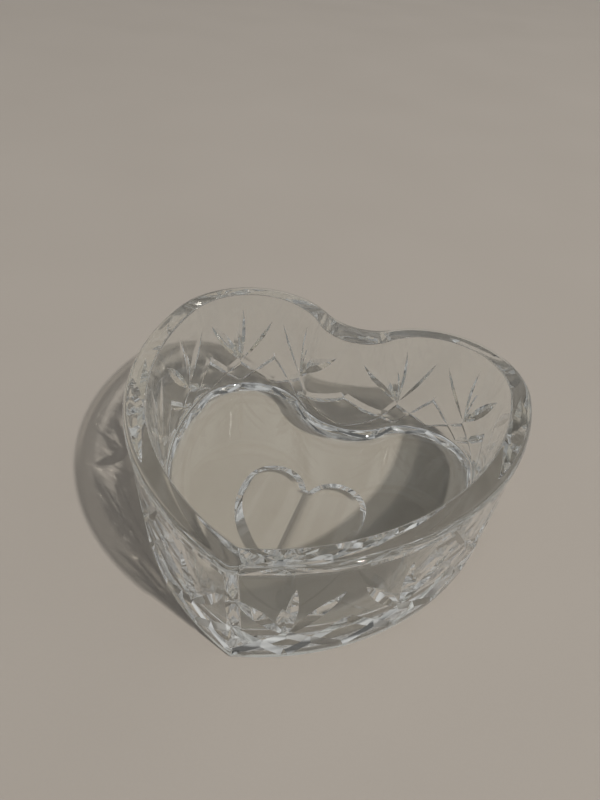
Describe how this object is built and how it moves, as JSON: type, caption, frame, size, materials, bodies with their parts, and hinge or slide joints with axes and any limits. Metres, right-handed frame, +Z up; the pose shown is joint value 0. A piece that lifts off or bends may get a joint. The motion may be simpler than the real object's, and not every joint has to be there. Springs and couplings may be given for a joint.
{
  "type": "heart trinket dish",
  "caption": "Open heart-shaped trinket dish of thick clear cut glass, with a flat floor, a bevelled rim and a small heart cut into the underside.",
  "frame": {"origin": "middle of the underside's bounding box, on the surface the dish stands on", "axes": "+Z up out of the open top; +Y from the point of the heart towards its two lobes; +X across the lobes"},
  "size_m": [0.13, 0.126, 0.0455],
  "materials": {
    "crystal": "clear polished cut crystal, faint grey in the thick edges"
  },
  "bodies": {
    "root": {"crystal_dish": "crystal"}
  },
  "joints": []
}
